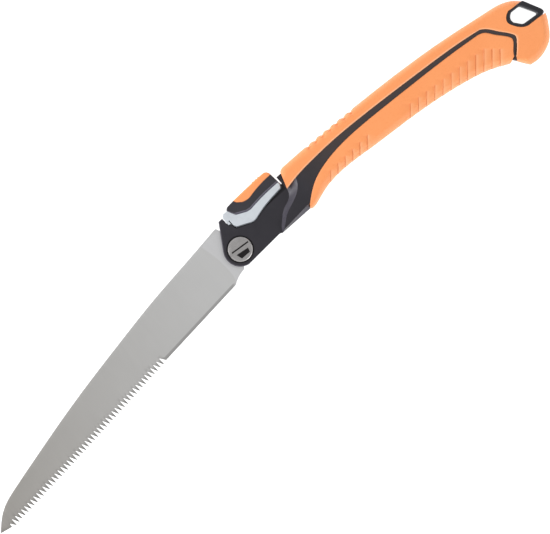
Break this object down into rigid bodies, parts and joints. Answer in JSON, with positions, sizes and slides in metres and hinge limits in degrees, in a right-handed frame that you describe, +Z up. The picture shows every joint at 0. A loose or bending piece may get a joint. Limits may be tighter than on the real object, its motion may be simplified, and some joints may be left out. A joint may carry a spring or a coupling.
{
  "type": "folding pruning saw",
  "caption": "Folding pull saw with a curved toothed blade, a pistol-curved two-colour rubber grip, a rocking latch and a hanging eyelet, lying open on its side.",
  "frame": {"origin": "centre of the bounding box's bottom face, on the surface the saw lies on", "axes": "+X from the blade's tip to the butt of the handle, +Y from the teeth to the spine and latch, +Z up out of the saw's left side"},
  "size_m": [0.51, 0.0684, 0.023],
  "materials": {
    "shell_nylon": "fine moulded texture",
    "grip_rubber": "soft matte overmould with ribs",
    "latch_rubber": "soft matte overmould",
    "latch_cap": "satin moulded",
    "latch_cast": "fine bead-blasted casting",
    "blade_steel": "satin ground",
    "pivot_steel": "polished",
    "washer_steel": "plain",
    "washer_plastic": "plain acetal",
    "pin_steel": "ground",
    "screw_steel": "black oxide",
    "insert_brass": "knurled"
  },
  "bodies": {
    "handle": {"left_shell": "shell_nylon", "right_shell": "shell_nylon", "spine_grip_left": "grip_rubber", "spine_grip_right": "grip_rubber", "belly_grip_left": "grip_rubber", "belly_grip_right": "grip_rubber", "pivot_bolt": "pivot_steel", "pivot_nut": "pivot_steel", "lock_washer": "washer_steel", "blade_washer_left": "washer_plastic", "blade_washer_right": "washer_plastic", "latch_pin": "pin_steel", "blade_stop_pin": "pin_steel", "shell_screws": "screw_steel", "screw_inserts": "insert_brass", "hanging_eyelet": "shell_nylon", "latch_spring": "pin_steel"},
    "blade": {"blade": "blade_steel", "pivot_bush": "washer_steel"},
    "latch": {"latch_lever": "latch_cast", "latch_cover": "latch_cap", "latch_pad": "latch_rubber"}
  },
  "joints": [
    {"name": "blade_fold", "type": "hinge", "parent": "handle", "child": "blade", "pos_m": [-0.0057, 0.00568, 0.0115], "axis": [0, 0, 1], "range_deg": [0, 166]},
    {"name": "latch_press", "type": "hinge", "parent": "handle", "child": "latch", "pos_m": [0.0234, 0.01898, 0.0115], "axis": [0, 0, -1], "range_deg": [0, 5.5], "stiffness_Nm_per_rad": 0.6, "springref_deg": -8.59, "deforming": ["latch_spring"]}
  ]
}
